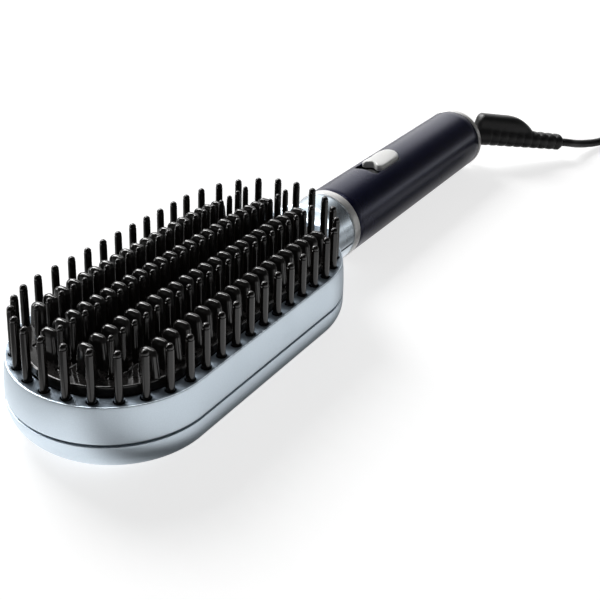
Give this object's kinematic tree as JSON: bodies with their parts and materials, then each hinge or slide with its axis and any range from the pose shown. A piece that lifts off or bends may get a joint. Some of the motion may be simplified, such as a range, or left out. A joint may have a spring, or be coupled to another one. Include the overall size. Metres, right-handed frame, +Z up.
{
  "type": "hair straightening brush",
  "caption": "Heated brush with a long round-ended head of pins and fins on a round handle, a slide switch and a swivelling cord.",
  "frame": {"origin": "middle of the brush without its cord, at the height of the surface that it lies on", "axes": "+Y from the tip of the head towards the cord, +Z up from the cover to the tips of the pins, +X to the side that the cord leaves to"},
  "size_m": [0.1506, 0.383, 0.041],
  "materials": {
    "satin_silver": "satin",
    "bright_trim": "bright",
    "navy_shell": "matte",
    "gloss_black": "gloss",
    "coated_aluminium": "gloss coating",
    "black_rubber": "satin",
    "dark_plastic": "matte",
    "pale_plastic": "satin",
    "steel": "plain",
    "circuit_board": "matte",
    "ceramic": "matte",
    "lead_insulation": "matte"
  },
  "bodies": {
    "housing": {"head_frame": "satin_silver", "rear_cover": "satin_silver", "seam_ring": "dark_plastic", "outer_bristle_carrier": "gloss_black", "heating_plate": "coated_aluminium", "cool_pin_carrier": "gloss_black", "ptc_heater_left": "ceramic", "heater_clamp_left": "steel", "heater_lead_left": "lead_insulation", "ptc_heater_right": "ceramic", "heater_clamp_right": "steel", "heater_lead_right": "lead_insulation", "thermal_fuse": "steel", "temperature_sensor": "gloss_black", "sensor_lead": "lead_insulation", "head_screw_1": "steel", "head_screw_2": "steel", "head_screw_3": "steel", "head_screw_4": "steel", "neck_lock_screw": "steel", "neck_ring": "bright_trim", "handle_sleeve": "navy_shell", "inner_frame_upper": "dark_plastic", "inner_frame_lower": "dark_plastic", "control_board": "circuit_board", "board_screw_1": "steel", "board_screw_2": "steel", "slide_switch_body": "dark_plastic", "film_capacitor": "pale_plastic", "triac": "gloss_black", "supply_lead_left": "lead_insulation", "supply_lead_right": "lead_insulation", "slip_contact_block": "dark_plastic", "end_ring": "bright_trim", "end_cap": "gloss_black", "swivel_bush": "pale_plastic", "cord_lead": "black_rubber", "cord_coil": "black_rubber", "cord_tail": "black_rubber", "cord_tie": "black_rubber", "plug_body": "black_rubber", "plug_pin_left": "steel", "plug_pin_right": "steel", "plug_guard": "black_rubber"},
    "switch": {"switch_slider": "pale_plastic", "switch_lever": "dark_plastic"},
    "swivel": {"swivel_shaft": "dark_plastic", "swivel_retainer": "steel", "cord_guard": "black_rubber"}
  },
  "joints": [
    {"name": "switch_slide", "type": "slide", "parent": "housing", "child": "switch", "axis": [0, -1, 0], "range_m": [0, 0.005]},
    {"name": "cord_swivel", "type": "hinge", "parent": "housing", "child": "swivel", "pos_m": [0, 0.13533, 0.0141], "axis": [0, 1, 0], "continuous": true}
  ]
}
